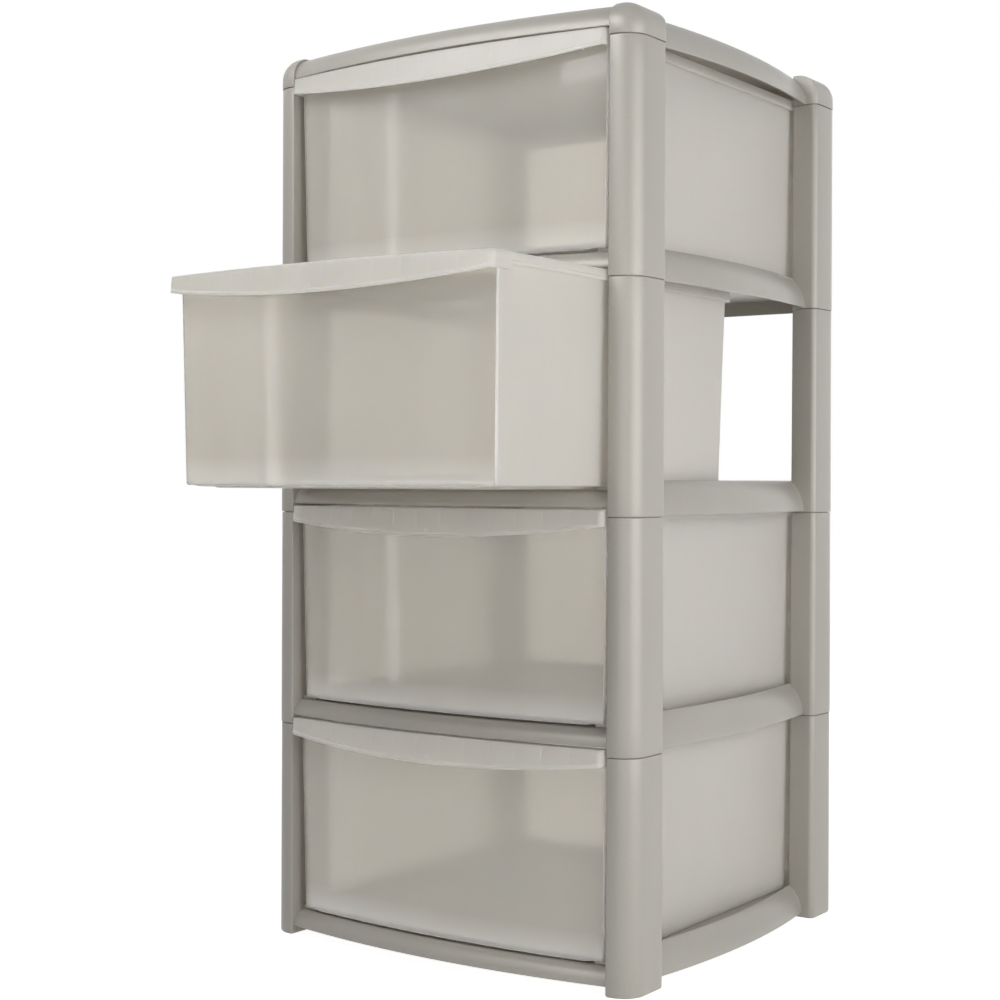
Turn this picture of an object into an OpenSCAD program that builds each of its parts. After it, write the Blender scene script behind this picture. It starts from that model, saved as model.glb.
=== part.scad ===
// Four-drawer storage tower in moulded plastic: shelf frames and hollow corner posts that plug
// together, a domed top panel and four translucent drawers that slide out to the front.
// Units are millimetres, +Z is up and the drawers open towards -Y.

/* [Tower] */
// Width over the outside of the corner posts
tower_w = 400; // [380:5:440]
// Depth over the outside of the corner posts
tower_d = 398; // [380:2:440]
// Height of one storey, from post seam to post seam
level_pitch = 200; // [190:1:240]
// How far the second drawer from the top stands open
drawer_out = 158; // [0:1:240]

/* [Posts] */
// Width of a post across the front of the tower
post_w = 26; // [24:0.5:32]
// Depth of a post along the side of the tower
post_d = 54; // [48:1:64]
// Radius of a post's outer corner, at the corner of the tower
post_corner_r = 22; // [14:0.5:23]
// Radius of a post's outer edge where it faces the side opening
post_edge_r = 6; // [3:0.5:8]
// Wall of a post
post_wall = 2.4; // [1.8:0.1:3]
// Depth that a shelf's plug reaches down into the post below
plug_down = 14; // [8:1:30]
// Height that a shelf's plug reaches up into its own post
plug_up = 40; // [34:1:60]

/* [Rails] */
// Height of a front rail's lower edge above the seam
front_rail_lift = 8; // [7:0.5:9]
// Height of a front rail
front_rail_h = 14.5; // [12:0.5:14.5]
// Width of a front rail, front to back
front_rail_w = 14; // [12:0.5:16]
// How far the front rails bow out in the middle
front_bow = 17; // [8:1:26]
// Height of a side rail's lower edge above the seam
side_rail_lift = 1; // [0.5:0.5:3]
// Height of the base frame's side rails above the floor
base_rail_lift = 5; // [4:0.5:7]
// Height of a side rail's upper edge above the seam
side_rail_top = 31; // [29:0.5:34]
// Width of a side rail
side_rail_w = 14; // [12:0.5:14]
// How far the side rails bow out in the middle
side_bow = 12; // [4:1:14]
// Distance of a side rail's ends from the outer face of the posts
side_rail_inset = 12; // [11:0.5:13]
// Wall of the rails and of the top panel's edges
rail_wall = 2.4; // [1.8:0.1:3]

/* [Shelf] */
// Height of the shelf floor's underside above the seam
deck_lift = 13.5; // [12:0.5:15]
// Thickness of the shelf floor and its side ledges
deck_t = 2.5; // [2:0.1:3]
// Width of each side ledge
ledge_w = 18; // [14:0.5:22]
// Distance of the rear rail from the back of the tower
rear_rail_inset = 12; // [10:0.5:13]

/* [Top panel] */
// Height of the top surface above the uppermost seam
top_h = 27; // [25:0.5:30]
// Height of the corner caps above the top surface
cap_rise = 2.5; // [1:0.5:4]
// Flat left at the middle of a corner cap's domed round
cap_flat = 1; // [0.5:0.5:5]
// Set-back of the hollow under a corner cap's dome
cap_core = 8; // [7:0.5:10]
// Width of the flat rim round the top surface
top_rim_w = 24; // [18:1:40]
// Depth of the tray inside that rim
top_tray = 1.2; // [0.6:0.1:1.5]

/* [Drawers] */
// Wall of a drawer
drawer_wall = 2; // [1.6:0.1:2.6]
// Side clearance between a drawer's rim and the posts
rim_gap = 1.4; // [1:0.1:2]
// Clearance between a drawer's rim and the front rail above it
rim_head_gap = 2; // [1.5:0.1:6]
// Clearance between a drawer's lowered floor and the front rail that it slides over
belly_gap = 0.6; // [0.5:0.1:2]
// Overhang of the rim beyond the side walls
rim_w = 3; // [2.8:0.1:4]
// Height of the turned-down skirt of the rim
rim_skirt = 9.5; // [6:0.5:14]
// Thickness of the rim and its skirt
rim_t = 1.5; // [1.2:0.1:1.8]
// How much narrower each side wall stands at the bottom than at the rim
side_draft = 3.2; // [1:0.1:5]
// How much further back the front wall stands at the bottom than at the rim
front_draft = 3; // [1:0.5:5]
// How much further forward the rear wall stands at the bottom than at the rim
rear_draft = 6; // [2:0.5:8]
// Set-back of the front wall's ends from the front of the posts
front_wall_inset = 8; // [6:0.5:12]
// How far the front wall and its handle lip bow out in the middle
drawer_bow = 13; // [6:0.5:18]
// Depth of the lowered middle of a drawer's floor
belly_drop = 2.4; // [1:0.1:2.4]
// Width of the raised border round that middle
belly_border = 20; // [19:1:30]
// Gap between a drawer's rear rim and the rear rail
rear_gap = 3; // [2:0.5:8]

/* [Handle lip] */
// Distance of the lip's upper edge in front of the front wall
lip_reach = 11; // [8:0.5:12]
// Flare of the lip towards its lower edge
lip_flare = 4.5; // [2:0.5:9]
// Height of the lip at its ends
lip_end_h = 14; // [11:0.5:16]
// Height of the lip in the middle
lip_mid_h = 25; // [17:0.5:28]
// Thickness of the lip
lip_t = 2.2; // [1.6:0.1:2.6]
// Length of the cheeks at the lip's ends, back from the front of the posts
cheek_len = 20; // [16:1:40]
// Number of stiffening ribs behind the lip
rib_count = 12; // [6:1:14]
// Thickness of a rib
rib_t = 1.4; // [1:0.1:2]
// Height of a rib
rib_h = 14; // [8:0.5:15]

/* [Fits] */
// Clearance of a plug inside a post and of a rail in its slot
plug_gap = 0.3; // [0.2:0.05:0.5]
// Running clearance between a drawer and its ledges
run_gap = 0.3; // [0.2:0.05:0.5]

/* [Hidden] */
$fn = 96;
// Segments of the wide arcs of the rails and the drawer fronts
arc_fn = 720;
// Segments of a rail's rounded section
rail_fn = 192;
// Segments of a drawer's rear corners
corner_fn = 32;
// Thickness of the two slabs between which a drawer's tapered block is stretched
slab_t = 0.001;
levels = 4;
// Small overlap that joins two shapes of one piece
weld = 0.4;
// Radius of a post's inner edges
post_inner_r = 1.2;
// Smallest radius kept on the edges of a post's bore
bore_edge_r = 0.6;
// Wall of a plug and of the web across it
plug_wall = 2.4;
// How much slimmer a rail's root is than the rail, all round
root_inset = 0.2;
// Set-back of the upright part of a root, under the rail's curve
foot_step = 0.3;
// Inset of a plug's outer face from a post's outer face
plug_inset = post_wall + plug_gap;
// Radius of the rear corners of a drawer
drawer_corner_r = 8;

cap_dome_r = post_corner_r - cap_flat;
half_w = tower_w / 2;
half_open = half_w - post_w;
bay_mid = tower_d / 2;
bay_half = bay_mid - post_d;
top_seam = levels * level_pitch;

// Front rail: its ends pass just behind the front wall of the posts
front_end_y = post_wall + plug_gap;
front_r = (half_open * half_open + front_bow * front_bow) / (2 * front_bow);
front_centre_y = front_end_y - front_bow + front_r;
// Side rail
side_end_x = half_w - side_rail_inset;
side_r = (bay_half * bay_half + side_bow * side_bow) / (2 * side_bow);
side_centre_x = side_end_x + side_bow - side_r;
// Rear rail
rear_rail_y = tower_d - rear_rail_inset - rail_wall;

// Drawer, in plan
rim_x = half_open - rim_gap;
wall_x = rim_x - rim_w;
rim_rear_y = rear_rail_y - rear_gap;
wall_rear_y = rim_rear_y - rim_w;
wall_r = (wall_x * wall_x + drawer_bow * drawer_bow) / (2 * drawer_bow);
wall_centre_y = front_wall_inset - drawer_bow + wall_r;
lip_r = wall_r + lip_reach;
// Drawer, in height above the seam of its storey
front_rail_head = front_rail_lift + front_rail_h;
drawer_z = front_rail_head + belly_gap + belly_drop;
ledge_lift = drawer_z - run_gap;
rim_z = level_pitch + front_rail_lift - rim_head_gap;
drawer_h = rim_z - drawer_z;
lip_front_y = wall_centre_y - lip_r - lip_flare;

// The origin is the middle of the whole outline at floor level, with the drawer standing open
origin_y = (tower_d + lip_front_y - drawer_out) / 2;

silver = [0.72, 0.71, 0.67];
natural = [0.86, 0.86, 0.83, 0.75];

// ---- posts ------------------------------------------------------------------------------------

// Quarter of a disc that rounds one corner of a rectangle; sx and sy point to the corner
module corner_disc(x, y, r, sx, sy) {
    intersection() {
        translate([x, y])
            circle(r = r);
        translate([sx > 0 ? x : x - r, sy > 0 ? y : y - r])
            square([r, r]);
    }
}

// Section of the front right post, shrunk by inset all round: a flat inner side, a flat side
// towards the side opening and a wide round at the tower's corner
module post_section(inset) {
    left = half_open + inset;
    right = half_w - inset;
    front = inset;
    back = post_d - inset;
    big = post_corner_r - inset;
    edge = max(post_edge_r - inset, bore_edge_r);
    small = max(post_inner_r - inset, bore_edge_r);
    difference() {
        translate([left, front])
            square([right - left, back - front]);
        translate([right - big, front - weld])
            square([big + weld, big + weld]);
        translate([right - edge, back - edge])
            square([edge + weld, edge + weld]);
        translate([left - weld, back - small])
            square([small + weld, small + weld]);
        translate([left - weld, front - weld])
            square([small + weld, small + weld]);
    }
    corner_disc(right - big, front + big, big, 1, -1);
    corner_disc(right - edge, back - edge, edge, 1, 1);
    corner_disc(left + small, back - small, small, -1, 1);
    corner_disc(left + small, front + small, small, -1, -1);
}

module mirror_x(side) {
    if (side < 0) mirror([1, 0, 0]) children();
    else children();
}

// Carries a shape made for the front right corner to the corner given by two signs
module at_corner(side, end) {
    if (end < 0) mirror_x(side) children();
    else translate([0, tower_d, 0]) mirror([0, 1, 0]) mirror_x(side) children();
}

// Slot in a post's bay-side wall where the side rail's end comes in, open at the bottom
module side_slot() {
    grown = side_rail_w + 2 * plug_gap;
    translate([side_end_x + plug_gap - grown, post_d - post_wall - plug_gap, 0])
        rotate([90, 0, 0])
            mirror([0, 0, 1])
                linear_extrude(post_wall + 2 * plug_gap)
                    side_end_profile(grown, plug_gap);
}

// Outline of the side rail's end: a quarter curve on its outer side, straight down to the seam
module side_end_profile(width, grow) {
    top = side_rail_top + grow;
    rise = top - side_rail_lift;
    r = arc_r(width, rise);
    intersection() {
        translate([0, -weld])
            square([width, top + weld]);
        union() {
            translate([width - r, side_rail_lift])
                circle(r = r, $fn = rail_fn);
            translate([0, -weld])
                square([width - foot_step, side_rail_lift + weld]);
        }
    }
}

// Slot in a front post's inner wall where the front rail's end comes in, open at the bottom
module front_slot() {
    width = front_rail_w + 2 * plug_gap;
    translate([half_open - plug_gap, front_end_y - plug_gap, 0])
        rotate([90, 0, 90])
            linear_extrude(post_wall + 2 * plug_gap)
                front_end_profile(width, plug_gap);
}

module front_end_profile(width, grow) {
    top = front_rail_lift + front_rail_h + grow;
    r = arc_r(width, front_rail_h + grow);
    intersection() {
        translate([0, -weld])
            square([width, top + weld]);
        union() {
            translate([r, front_rail_lift])
                circle(r = r, $fn = rail_fn);
            translate([foot_step, -weld])
                square([width - foot_step, front_rail_lift + weld]);
        }
    }
}

// Slot in a rear post's inner wall where the rear rail's end comes in
module rear_slot() {
    translate([half_open - plug_gap, rear_rail_inset - plug_gap, -weld])
        cube([post_wall + 2 * plug_gap, rail_wall + 2 * plug_gap, side_rail_top + plug_gap + weld]);
}

// One hollow post of one storey; side is -1 left or 1 right, end is -1 front or 1 rear
module post(level, side, end) {
    color(silver)
        translate([0, 0, (level - 1) * level_pitch])
            at_corner(side, end)
                difference() {
                    linear_extrude(level_pitch)
                        post_section(0);
                    translate([0, 0, -weld])
                        linear_extrude(level_pitch + 2 * weld)
                            post_section(post_wall);
                    side_slot();
                    if (end < 0) front_slot();
                    else rear_slot();
                }
}

// ---- shelves ----------------------------------------------------------------------------------

// Radius of the arc that stands upright at a rail's foot and reaches width inwards at height
function arc_r(width, height) = (width * width + height * height) / (2 * width);

// Wall of a bowed rail in section: a curved outer wall from foot to head and an inner web that
// hangs down to web_foot; edge is the radius at which the foot stands
module rail_section(edge, width, foot, head, web_foot) {
    r = arc_r(width, head - foot);
    intersection() {
        translate([edge - width, foot])
            square([width + weld, head - foot]);
        difference() {
            translate([edge - r, foot])
                circle(r = r, $fn = rail_fn);
            translate([edge - r, foot])
                circle(r = r - rail_wall, $fn = rail_fn);
        }
    }
    translate([edge - width, web_foot])
        square([rail_wall, head - web_foot - weld]);
}

// Sweeps a section made at radius r along the bow of that radius, half_chord to each side
module bowed(r, half_chord, centre, heading) {
    half_angle = asin(half_chord / r);
    translate(centre)
        rotate([0, 0, heading - half_angle])
            rotate_extrude(angle = 2 * half_angle, $fn = arc_fn)
                children();
}

module front_rail(foot, head, web_foot) {
    reach = half_open + weld;
    intersection() {
        bowed(front_r, half_open + front_rail_w, [0, front_centre_y, 0], 270)
            rail_section(front_r, front_rail_w, foot, head, web_foot);
        translate([-reach, -front_bow, foot - weld])
            cube([2 * reach, 2 * front_bow + post_d, head]);
    }
}

module side_rail(foot, head, web_foot) {
    intersection() {
        bowed(side_r, bay_half + side_rail_w, [side_centre_x, bay_mid, 0], 0)
            rail_section(side_r, side_rail_w, foot, head, web_foot);
        translate([0, post_d - weld, foot - weld])
            cube([tower_w, 2 * (bay_half + weld), head]);
    }
}

// Everything inside the bow of the front rails, set back by depth
module inside_front_bow(depth, foot, height) {
    translate([0, front_centre_y, foot])
        cylinder(r = front_r - depth, h = height, $fn = arc_fn);
}

// Everything inside the bow of the right side rail, set in by depth
module inside_side_bow(depth, foot, height) {
    translate([side_centre_x, bay_mid, foot])
        cylinder(r = side_r - depth, h = height, $fn = arc_fn);
}

// A level plate between the four rails, kept the given distance clear of the corner posts
module plate(foot, height, clear) {
    reach = half_open - clear;
    bay = bay_half - clear;
    intersection() {
        inside_front_bow(front_rail_w - weld, foot, height);
        translate([-reach, -front_bow, foot])
            cube([2 * reach, rear_rail_y + weld + front_bow, height]);
    }
    intersection() {
        translate([-half_w, bay_mid - bay, foot])
            cube([tower_w, 2 * bay, height]);
        inside_side_bow(side_rail_w - weld, foot, height);
        mirror([1, 0, 0])
            inside_side_bow(side_rail_w - weld, foot, height);
    }
}

// Hollow plug that fills a post from foot to head
module plug(foot, head) {
    translate([0, 0, foot])
        linear_extrude(head - foot)
            difference() {
                post_section(plug_inset);
                post_section(plug_inset + plug_wall);
            }
}

// Web that closes a plug at the seam
module plug_web() {
    linear_extrude(plug_wall)
        post_section(plug_inset + weld);
}

// Roots that carry the rails through a post's slots into the plug, resting on the post below
module side_root() {
    depth = post_wall + 2 * weld;
    translate([side_end_x - side_rail_w + root_inset, post_d - post_wall, 0])
        rotate([90, 0, 0])
            mirror([0, 0, 1])
                linear_extrude(post_wall)
                    intersection() {
                        side_end_profile(side_rail_w - 2 * root_inset, -root_inset);
                        square([side_rail_w, side_rail_top]);
                    }
    translate([half_open + post_wall + plug_gap, post_d - post_wall - plug_gap - weld, 0])
        cube([side_end_x - half_open - post_wall - plug_gap - rail_wall, depth, deck_lift]);
}

module front_root() {
    translate([half_open, front_end_y + root_inset, 0])
        rotate([90, 0, 90])
            linear_extrude(post_wall + plug_gap + weld)
                intersection() {
                    front_end_profile(front_rail_w - 2 * root_inset, -root_inset);
                    square([front_rail_w, side_rail_top]);
                }
}

module rear_root() {
    translate([half_open - weld, rear_rail_inset, 0])
        cube([post_wall + plug_gap + 2 * weld, rail_wall, side_rail_top]);
}

module corner_joint(side, end, foot) {
    at_corner(side, end) {
        plug(foot, plug_up);
        plug_web();
        side_root();
        if (end < 0) front_root();
        else rear_root();
    }
}

// One ledge on the right that carries a drawer's edge, with the riser down to the shelf floor
module ledge() {
    inner = half_open - ledge_w;
    intersection() {
        union() {
            translate([inner, 0, ledge_lift - deck_t])
                cube([half_w - inner, rear_rail_y + weld, deck_t]);
            translate([inner, 0, deck_lift])
                cube([deck_t, rear_rail_y + weld, ledge_lift - deck_lift]);
        }
        plate(deck_lift, ledge_lift - deck_lift, plug_gap);
    }
}

// A whole shelf: four rails, floor, ledges and the corner plugs, from its seam upwards
module shelf(side_foot, plug_foot) {
    web_foot = deck_lift - weld;
    front_rail(front_rail_lift, front_rail_head, web_foot);
    for (side = [-1, 1])
        mirror_x(side) {
            side_rail(side_foot, side_rail_top, web_foot);
            ledge();
        }
    translate([-half_open, rear_rail_y, 0])
        cube([2 * half_open, rail_wall, side_rail_top]);
    inner = half_open - ledge_w + weld;
    intersection() {
        plate(deck_lift, deck_t, plug_gap);
        translate([-inner, -front_bow, 0])
            cube([2 * inner, tower_d, level_pitch]);
    }
    for (side = [-1, 1], end = [-1, 1])
        corner_joint(side, end, plug_foot);
}

module base_frame() {
    color(silver)
        shelf(base_rail_lift, 0);
}

module shelf_at(level) {
    color(silver)
        translate([0, 0, level * level_pitch])
            shelf(side_rail_lift, -plug_down);
}

// ---- top panel --------------------------------------------------------------------------------

// Solid of a corner cap: upright walls that round over into a dome on the two outer sides
module cap_dome() {
    head = top_h + cap_rise;
    spring = head - cap_dome_r;
    centre_x = half_w - post_corner_r;
    centre_y = post_corner_r;
    translate([centre_x, centre_y, 0])
        rotate([0, 0, 270])
            rotate_extrude(angle = 90)
                cap_profile(post_corner_r, spring);
    translate([centre_x, post_d, 0])
        rotate([90, 0, 0])
            linear_extrude(post_d - centre_y)
                cap_profile(post_corner_r, spring);
    translate([half_open, centre_y, 0])
        rotate([90, 0, 90])
            linear_extrude(centre_x - half_open)
                mirror([1, 0])
                    cap_profile(post_corner_r, spring);
    translate([half_open, centre_y, 0])
        cube([centre_x - half_open, post_d - centre_y, head]);
}

module cap_profile(reach, spring) {
    square([reach, spring]);
    square([reach - cap_dome_r, spring + cap_dome_r]);
    translate([reach - cap_dome_r, spring])
        intersection() {
            circle(r = cap_dome_r);
            square([cap_dome_r, cap_dome_r]);
        }
}

// Corner cap: a domed shell over the post, with a plug that reaches down into it
module cap() {
    head = top_h + cap_rise;
    difference() {
        intersection() {
            cap_dome();
            linear_extrude(head)
                post_section(0);
        }
        translate([0, 0, -weld])
            linear_extrude(head - cap_dome_r + weld)
                post_section(plug_inset + plug_wall);
        translate([0, 0, -weld])
            linear_extrude(head - cap_core + weld)
                post_section(cap_core);
    }
    plug(-plug_down, weld);
}

module top_panel() {
    tray = half_open - top_rim_w;
    web_foot = top_h - deck_t - weld;
    color(silver)
        translate([0, 0, top_seam]) {
            difference() {
                union() {
                    front_rail(front_rail_lift, top_h, web_foot);
                    for (side = [-1, 1])
                        mirror_x(side)
                            side_rail(0, top_h, web_foot);
                    translate([-half_open, rear_rail_y, 0])
                        cube([2 * half_open, rail_wall, top_h]);
                    plate(top_h - deck_t, deck_t, -weld / 2);
                }
                translate([-tray, top_rim_w, top_h - top_tray])
                    cube([2 * tray, rear_rail_y - 2 * top_rim_w, top_tray + weld]);
            }
            for (side = [-1, 1], end = [-1, 1])
                at_corner(side, end)
                    cap();
        }
}

// ---- drawers ----------------------------------------------------------------------------------

// Tapered block of a drawer between the heights foot and head, set in by inset on the sides and
// rear; its front is left long and is cut to the bow afterwards
module tapered_block(foot, head, inset) {
    hull() {
        for (z = [foot, head]) {
            share = (rim_z - z) / drawer_h;
            x = wall_x - inset - side_draft * share;
            back = wall_rear_y - inset - rear_draft * share;
            r = drawer_corner_r - min(inset, drawer_corner_r / 2);
            translate([0, 0, z]) {
                for (side = [-1, 1])
                    translate([side * (x - r), back - r, 0])
                        cylinder(r = r, h = slab_t, $fn = corner_fn);
                translate([-x, lip_front_y, 0])
                    cube([2 * x, bay_mid - lip_front_y, slab_t]);
            }
        }
    }
}

// Bowed and drafted front of a drawer, set back by inset
module drawer_bow_cone(foot, head, inset) {
    translate([0, wall_centre_y, foot])
        cylinder(
            r1 = wall_r - inset - front_draft * (rim_z - foot) / drawer_h,
            r2 = wall_r - inset - front_draft * (rim_z - head) / drawer_h,
            h = head - foot,
            $fn = arc_fn
        );
}

module drawer_block(foot, head, inset) {
    intersection() {
        tapered_block(foot, head, inset);
        drawer_bow_cone(foot, head, inset);
    }
}

// Everything behind the flared front face of the handle lip, set back by inset
module lip_cone(inset) {
    foot = rim_z - lip_mid_h;
    translate([0, wall_centre_y, foot])
        cylinder(r1 = lip_r + lip_flare - inset, r2 = lip_r - inset, h = lip_mid_h, $fn = arc_fn);
}

// Region above the lip's lower edge, which hangs lower in the middle than at the ends
module above_lip_edge() {
    sag = lip_mid_h - lip_end_h;
    r = (rim_x * rim_x + sag * sag) / (2 * sag);
    translate([0, front_wall_inset, rim_z - lip_mid_h + r])
        rotate([90, 0, 0])
            cylinder(r = r, h = front_wall_inset - lip_front_y + weld, $fn = arc_fn);
}

module lip() {
    intersection() {
        difference() {
            lip_cone(0);
            lip_cone(lip_t);
        }
        above_lip_edge();
        translate([-rim_x, lip_front_y, rim_z - lip_mid_h])
            cube([2 * rim_x, front_wall_inset - lip_front_y, lip_mid_h]);
    }
}

// Ribs between the front wall and the lip
module lip_ribs() {
    spacing = 2 * rim_x / (rib_count + 1);
    intersection() {
        lip_cone(weld);
        for (i = [1:rib_count])
            translate([i * spacing - rim_x - rib_t / 2, lip_front_y, rim_z - rib_h])
                cube([rib_t, front_wall_inset + drawer_wall - lip_front_y, rib_h - weld]);
    }
}

// Flat flange round the top, from the walls out to the rim's edge and the lip
module rim_flange() {
    intersection() {
        translate([-rim_x, lip_front_y, rim_z - rim_t])
            cube([2 * rim_x, rim_rear_y - lip_front_y, rim_t]);
        lip_cone(weld);
    }
}

module side_skirts() {
    for (side = [-1, 1])
        mirror_x(side) {
            translate([rim_x - rim_t, front_wall_inset, rim_z - rim_skirt])
                cube([rim_t, rim_rear_y - front_wall_inset, rim_skirt]);
            cheek();
        }
    translate([-rim_x, rim_rear_y - rim_t, rim_z - rim_skirt])
        cube([2 * rim_x, rim_t, rim_skirt]);
}

// Cheek that closes one end of the lip
module cheek() {
    intersection() {
        lip_cone(weld);
        translate([rim_x - rim_t, lip_front_y, rim_z - lip_end_h])
            cube([rim_t, cheek_len - lip_front_y, lip_end_h]);
    }
}

// Drawer number counts from the top; out is how far it stands open
module drawer(number, out) {
    floor_z = drawer_z + drawer_wall;
    belly_z = drawer_z - belly_drop;
    color(natural)
        translate([0, -out, (levels - number) * level_pitch])
            difference() {
                union() {
                    drawer_block(drawer_z, rim_z, 0);
                    drawer_block(belly_z, drawer_z + weld, belly_border - drawer_wall);
                    rim_flange();
                    side_skirts();
                    lip();
                    lip_ribs();
                }
                drawer_block(floor_z, rim_z + weld, drawer_wall);
                drawer_block(belly_z + drawer_wall, floor_z + weld, belly_border);
            }
}

// ---- assembly ---------------------------------------------------------------------------------

translate([0, -origin_y, 0]) {
    base_frame();
    shelf_at(1);  // lower_shelf
    shelf_at(2);  // middle_shelf
    shelf_at(3);  // upper_shelf
    top_panel();
    post(1, -1, -1);  // post_1_front_left
    post(1, 1, -1);  // post_1_front_right
    post(1, -1, 1);  // post_1_rear_left
    post(1, 1, 1);  // post_1_rear_right
    post(2, -1, -1);  // post_2_front_left
    post(2, 1, -1);  // post_2_front_right
    post(2, -1, 1);  // post_2_rear_left
    post(2, 1, 1);  // post_2_rear_right
    post(3, -1, -1);  // post_3_front_left
    post(3, 1, -1);  // post_3_front_right
    post(3, -1, 1);  // post_3_rear_left
    post(3, 1, 1);  // post_3_rear_right
    post(4, -1, -1);  // post_4_front_left
    post(4, 1, -1);  // post_4_front_right
    post(4, -1, 1);  // post_4_rear_left
    post(4, 1, 1);  // post_4_rear_right
    drawer(1, 0);  // drawer_1
    drawer(2, drawer_out);  // drawer_2
    drawer(3, 0);  // drawer_3
    drawer(4, 0);  // drawer_4
}
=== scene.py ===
# %% [markdown]
# # A plastic tower with four drawers
#
# The tower is a kit of moulded plastic pieces: a base frame, three shelf frames and a top panel
# in a satin warm silver, sixteen hollow corner posts between them, and four frosted drawers.
# The measured frame comes in first. It says where each piece is and how it moves, and nothing
# below moves or resizes it: we only dress it.

# %% Load the measured frame
import math

import bmesh
import bpy
from mathutils import Matrix, Vector


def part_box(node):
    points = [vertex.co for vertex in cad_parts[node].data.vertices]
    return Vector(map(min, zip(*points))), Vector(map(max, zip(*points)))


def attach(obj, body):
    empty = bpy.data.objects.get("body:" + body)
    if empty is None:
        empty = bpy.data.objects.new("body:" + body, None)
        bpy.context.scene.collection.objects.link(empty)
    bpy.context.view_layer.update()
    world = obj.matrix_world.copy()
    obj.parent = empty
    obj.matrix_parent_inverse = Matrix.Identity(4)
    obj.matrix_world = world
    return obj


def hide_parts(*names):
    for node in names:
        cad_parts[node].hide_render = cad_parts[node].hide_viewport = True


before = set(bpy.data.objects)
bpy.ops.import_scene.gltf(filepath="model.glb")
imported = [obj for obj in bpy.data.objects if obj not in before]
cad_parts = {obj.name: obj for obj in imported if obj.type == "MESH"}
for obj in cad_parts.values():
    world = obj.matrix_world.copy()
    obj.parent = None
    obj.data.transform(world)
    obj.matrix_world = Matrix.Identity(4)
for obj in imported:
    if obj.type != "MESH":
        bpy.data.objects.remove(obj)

scene = bpy.context.scene
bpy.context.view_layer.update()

# %% [markdown]
# ## Sizes
#
# Moulded parts are drawn in millimetres, so the steps below use a frame of the tower's own:
# x = 0 in its middle, y = 0 at the front of its posts, z = 0 on the floor. Where that frame lies
# in the scene, and the tower's main sizes, are read from the measured nodes.

# %% Sizes of the tower in millimetres
MM = 0.001
post_low, post_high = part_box("post_1_front_right")
FRONT_Y = post_low.y / MM
HALF_W = post_high.x / MM
PITCH = (post_high.z - post_low.z) / MM
DEPTH = (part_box("post_1_rear_right")[1].y - post_low.y) / MM
POST_W, POST_D, POST_WALL = 26.0, 54.0, 2.4
POST_R, POST_EDGE_R, POST_INNER_R = 22.0, 6.0, 1.2
FIT = 0.3
HALF_OPEN = HALF_W - POST_W
BAY_MID = DEPTH / 2
BAY_HALF = BAY_MID - POST_D
LEVELS = 4


def place(x, y, z):
    """A point of the tower, in millimetres, as one of the scene in metres."""
    return Vector((x * MM, (y + FRONT_Y) * MM, z * MM))


def add_object(name, data):
    """A new object in the scene, with its mesh, lamp or camera."""
    made = bpy.data.objects.new(name, data)
    scene.collection.objects.link(made)
    return made


print("posts stand", 2 * HALF_W, "by", DEPTH, "mm, one storey is", PITCH, "mm")

# %% [markdown]
# ## The camera
#
# The tower is seen from its front right corner, a little above the third drawer, through a
# slightly long lens, so its upright lines stay upright. The camera's three directions are
# worked out from its heading, tilt and roll, and set as a matrix.

# %% Camera
CAMERA_AT = Vector((0.9532, -1.36395, 0.4307))
HEADING, TILT, ROLL = (math.radians(a) for a in (35.29, -0.645, -0.199))
FOCAL_SHARE, SENSOR = 1.7758, 36

ahead = Vector((-math.sin(HEADING) * math.cos(TILT), math.cos(HEADING) * math.cos(TILT),
                math.sin(TILT)))
level_right = Vector((math.cos(HEADING), math.sin(HEADING), 0))
level_up = level_right.cross(ahead)
right = math.cos(ROLL) * level_right - math.sin(ROLL) * level_up
up = math.sin(ROLL) * level_right + math.cos(ROLL) * level_up

camera_data = bpy.data.cameras.new("camera")
camera_data.sensor_width = SENSOR
camera_data.sensor_fit = "HORIZONTAL"
camera_data.lens = FOCAL_SHARE * SENSOR
camera_data.clip_start, camera_data.clip_end = 0.05, 60
camera = add_object("camera", camera_data)
turned = Matrix((right, up, -ahead)).transposed().to_4x4()
camera.matrix_world = Matrix.Translation(CAMERA_AT) @ turned
scene.camera = camera
print("lens", round(camera_data.lens, 2), "mm")

# %% [markdown]
# ## Floor, world and lamps
#
# Plain plastic shows its form by a few soft, broad lamps. A near one above the front lights the
# upper drawers and fades downwards. A wide one on the right draws the long soft streaks on the
# round posts, a weak one low in front opens the shadows, and one behind shines through the
# milky drawers. Two more only show as reflections: a high window and a narrow upright strip. The
# world gives hardly any light of its own, but it is white to the eye. The floor is
# pale and glows a little for the eye, most of all far away, so it runs into the white without
# a horizon and still takes the tower's shadow.

# %% Helpers for node trees
RAYS_OF_THE_EYE = ("Is Camera Ray", "Is Glossy Ray", "Is Transmission Ray")


def wire(tree, *links):
    for source, target in links:
        tree.links.new(source, target)


def fill(node, values):
    """Sets inputs of a node by their names."""
    for title, value in values.items():
        node.inputs[title].default_value = value


def maths(tree, operation, *values):
    """A math node; each value is a number or the output of another node."""
    node = tree.nodes.new("ShaderNodeMath")
    node.operation = operation
    for socket, value in zip(node.inputs, values):
        if isinstance(value, (int, float)):
            socket.default_value = value
        else:
            wire(tree, (value, socket))
    return node.outputs[0]


def for_the_eye(tree):
    """1 for rays that come straight from the camera, off a mirror or through glass."""
    path = tree.nodes.new("ShaderNodeLightPath")
    straight, glossy, through = (path.outputs[name] for name in RAYS_OF_THE_EYE)
    return maths(tree, "MINIMUM", 1,
                 maths(tree, "ADD", maths(tree, "ADD", straight, glossy), through))


# %% World
WORLD_LIGHT, WORLD_COLOUR, WHITE = 0.04, (1.0, 0.985, 0.96), (1, 1, 1)
world = bpy.data.worlds.new("studio")
scene.world = world
world.use_nodes = True
tree = world.node_tree
tree.nodes.clear()


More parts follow.
